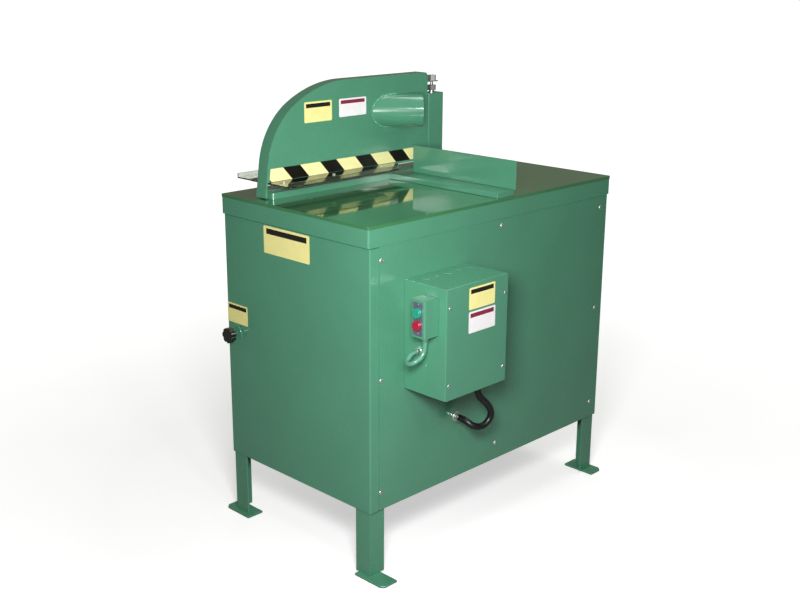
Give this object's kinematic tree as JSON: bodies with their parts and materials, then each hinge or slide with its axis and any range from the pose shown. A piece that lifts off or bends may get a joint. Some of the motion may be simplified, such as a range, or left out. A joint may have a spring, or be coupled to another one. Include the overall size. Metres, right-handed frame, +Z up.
{
  "type": "upcut saw",
  "caption": "Floor-standing upcut saw: cabinet on four angle legs, slotted table with fence, narrow quarter-round guard with dust pipe, clear side shields and a side control box.",
  "frame": {"origin": "centre of the table's outline, on the floor", "axes": "+X to the operator's right, +Y from the operator to the back, +Z up"},
  "size_m": [0.725, 0.9898, 1.2],
  "materials": {
    "green_enamel": "glossy enamel",
    "zinc": "bright zinc plate",
    "steel": "machined steel",
    "blade_steel": "ground steel",
    "cast_iron": "cast",
    "bronze": "machined",
    "aluminium": "satin",
    "motor_paint": "painted housing",
    "belt_rubber": "matt",
    "clear_plastic": "clear polycarbonate",
    "black_plastic": "gloss",
    "grey_plastic": "satin",
    "start_green": "gloss",
    "stop_red": "gloss",
    "conduit_green": "satin",
    "conduit_black": "satin"
  },
  "bodies": {
    "frame": {"table_top": "green_enamel", "table_skirt": "green_enamel", "legs": "green_enamel", "foot_plates": "green_enamel", "cabinet_rails": "green_enamel", "side_panel_right": "green_enamel", "side_panel_left": "green_enamel", "back_panel": "green_enamel", "throat_bar_left": "green_enamel", "throat_bar_right": "green_enamel", "fence_base": "green_enamel", "fence_plate": "green_enamel", "guard_column": "green_enamel", "pivot_hangers": "green_enamel", "cylinder_beam": "green_enamel", "control_box": "green_enamel", "box_cover": "green_enamel", "station_box": "green_enamel", "panel_screws": "zinc", "fence_bolts": "zinc", "conduit_fittings": "zinc", "door_hinge_fixed": "zinc", "pivot_shaft": "steel", "lift_cylinder": "aluminium", "air_cylinder": "aluminium", "motor_starter": "black_plastic", "station_plate": "grey_plastic", "small_conduit": "conduit_green", "power_conduit": "conduit_black"},
    "door": {"front_door": "green_enamel", "door_hinge_leaf": "zinc", "knob_escutcheon": "green_enamel"},
    "door_latch": {"door_knob": "black_plastic", "knob_stud": "steel", "latch_pawl": "steel"},
    "guard": {"guard_shell": "green_enamel", "dust_pipe": "green_enamel", "shield_left": "clear_plastic", "shield_right": "clear_plastic", "guard_screws": "zinc", "guard_slide_block": "steel", "lift_bracket": "steel", "lift_rod": "steel", "lift_rod_nut": "zinc"},
    "arm": {"saw_arm": "green_enamel", "pivot_bushes": "bronze", "arbor_bearings": "steel", "drive_belts": "belt_rubber", "motor_body": "motor_paint"},
    "arbor": {"arbor_shaft": "steel", "blade_collars": "steel", "arbor_nut": "zinc", "saw_blade": "blade_steel", "arbor_pulley": "cast_iron"},
    "motor_rotor": {"motor_shaft": "steel", "motor_pulley": "cast_iron"},
    "lift_piston": {"cylinder_rod": "steel", "cylinder_clevis": "steel"},
    "start_plunger": {"start_button": "start_green"},
    "stop_plunger": {"stop_button": "stop_red"}
  },
  "joints": [
    {"name": "door_swing", "type": "hinge", "parent": "frame", "child": "door", "pos_m": [0.2749, -0.4475, 0.52], "axis": [0, 0, 1], "range_deg": [0, 95]},
    {"name": "latch_turn", "type": "hinge", "parent": "door", "child": "door_latch", "pos_m": [-0.246, -0.476, 0.534], "axis": [0, -1, 0], "range_deg": [0, 90]},
    {"name": "guard_lift", "type": "slide", "parent": "frame", "child": "guard", "axis": [0, 0, 1], "range_m": [0, 0.075]},
    {"name": "arm_swing", "type": "hinge", "parent": "frame", "child": "arm", "pos_m": [0, 0.17, 0.735], "axis": [-1, 0, 0], "range_deg": [0, 35.5]},
    {"name": "arbor_spin", "type": "hinge", "parent": "arm", "child": "arbor", "pos_m": [0, -0.125, 0.672], "axis": [1, 0, 0], "continuous": true},
    {"name": "motor_spin", "type": "hinge", "parent": "arm", "child": "motor_rotor", "pos_m": [0, 0.355, 0.735], "axis": [1, 0, 0], "continuous": true},
    {"name": "lift_stroke", "type": "slide", "parent": "frame", "child": "lift_piston", "axis": [0, 0, 1], "range_m": [0, 0.1157]},
    {"name": "start_press", "type": "slide", "parent": "frame", "child": "start_plunger", "axis": [0, 1, 0], "range_m": [0, 0.004], "stiffness_N_per_m": 800},
    {"name": "stop_press", "type": "slide", "parent": "frame", "child": "stop_plunger", "axis": [0, 1, 0], "range_m": [0, 0.004], "stiffness_N_per_m": 800}
  ],
  "couplings": [
    {"joint": "motor_spin", "follows": "arbor_spin", "ratio": 0.56},
    {"joint": "lift_stroke", "follows": "arm_swing", "m_per_rad": 0.1866}
  ]
}
